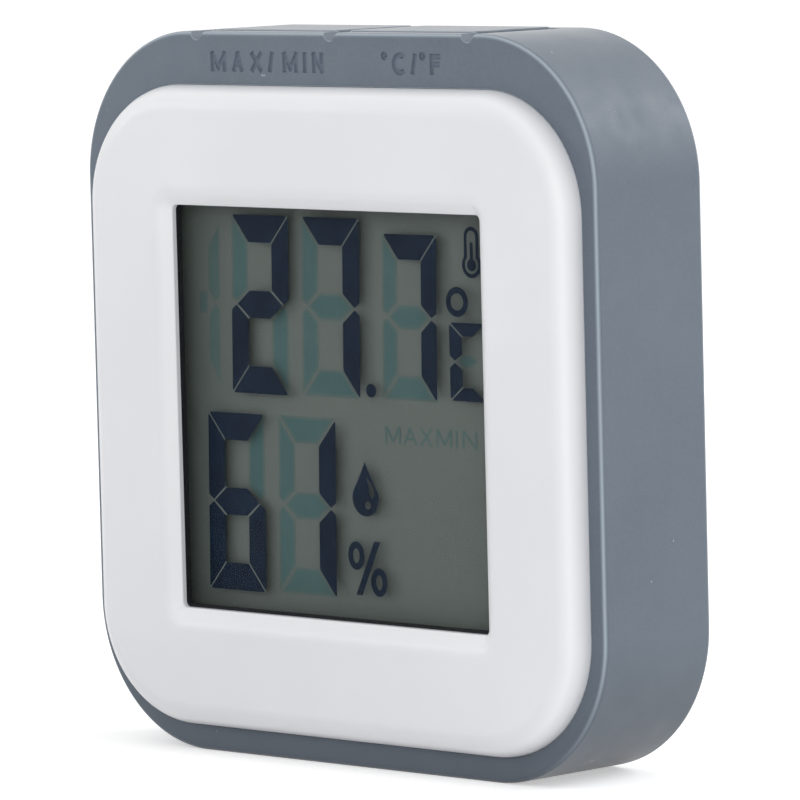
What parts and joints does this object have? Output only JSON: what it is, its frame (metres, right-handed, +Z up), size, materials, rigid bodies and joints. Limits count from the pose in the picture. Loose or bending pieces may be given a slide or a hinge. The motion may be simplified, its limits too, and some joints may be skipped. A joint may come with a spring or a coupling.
{
  "type": "desktop hygrometer",
  "caption": "Small rounded-square digital hygrometer: white case with a recessed segment display in a grey silicone sleeve, press pads on top, twist-lock battery door and fold-out stand behind.",
  "frame": {"origin": "middle of the footprint, on the surface that the object stands on", "axes": "+Z up, the display faces -Y, +X to the right as seen from the front"},
  "size_m": [0.0562, 0.0146, 0.0586],
  "materials": {
    "sleeve_silicone": "soft matt grey-blue",
    "white_plastic": "satin white",
    "steel": "bright nickel",
    "black_foam": "matt closed-cell foam",
    "polarizer_film": "hard film, low gloss",
    "display_glass": "clear",
    "reflector_film": "grey-green reflector",
    "black_plastic": "moulded black",
    "zebra_rubber": "layered contact rubber",
    "board_laminate": "green solder mask",
    "black_resin": "cast drop",
    "sensor_case": "ceramic white"
  },
  "bodies": {
    "case": {"silicone_sleeve": "sleeve_silicone", "front_bezel": "white_plastic", "rear_cover": "white_plastic", "stand_hinge_pin": "steel", "dust_gasket": "black_foam", "lcd_front_polarizer": "polarizer_film", "lcd_front_glass": "display_glass", "lcd_rear_glass": "display_glass", "lcd_reflector": "reflector_film", "lcd_holder": "black_plastic", "zebra_strip_upper": "zebra_rubber", "zebra_strip_lower": "zebra_rubber", "circuit_board": "board_laminate", "controller_blob": "black_resin", "crystal_can": "steel", "climate_sensor": "sensor_case", "max_min_switch_body": "black_plastic", "unit_switch_body": "black_plastic", "coin_cell": "steel", "cell_front_contact": "steel", "cell_rim_contact": "steel", "case_screw_lower_left": "steel", "case_screw_lower_right": "steel", "case_screw_upper_left": "steel", "case_screw_upper_right": "steel", "board_screw_left": "steel", "board_screw_right": "steel"},
    "max_min_key": {"max_min_button": "sleeve_silicone", "max_min_plunger": "black_plastic"},
    "unit_key": {"unit_button": "sleeve_silicone", "unit_plunger": "black_plastic"},
    "door": {"battery_door": "white_plastic"},
    "stand_leaf": {"stand": "white_plastic"}
  },
  "joints": [
    {"name": "max_min_press", "type": "slide", "parent": "case", "child": "max_min_key", "axis": [0, 0, -1], "range_m": [0, 0.0004], "stiffness_N_per_m": 1500, "springref_m": -0.00005},
    {"name": "unit_press", "type": "slide", "parent": "case", "child": "unit_key", "axis": [0, 0, -1], "range_m": [0, 0.0004], "stiffness_N_per_m": 1500, "springref_m": -0.00005},
    {"name": "battery_door_twist", "type": "hinge", "parent": "case", "child": "door", "pos_m": [0, 0.0065, 0.03815], "axis": [0, 1, 0], "range_deg": [0, 45]},
    {"name": "stand_fold", "type": "hinge", "parent": "case", "child": "stand_leaf", "pos_m": [0, 0.00608, 0.00605], "axis": [-1, 0, 0], "range_deg": [0, 90]}
  ]
}
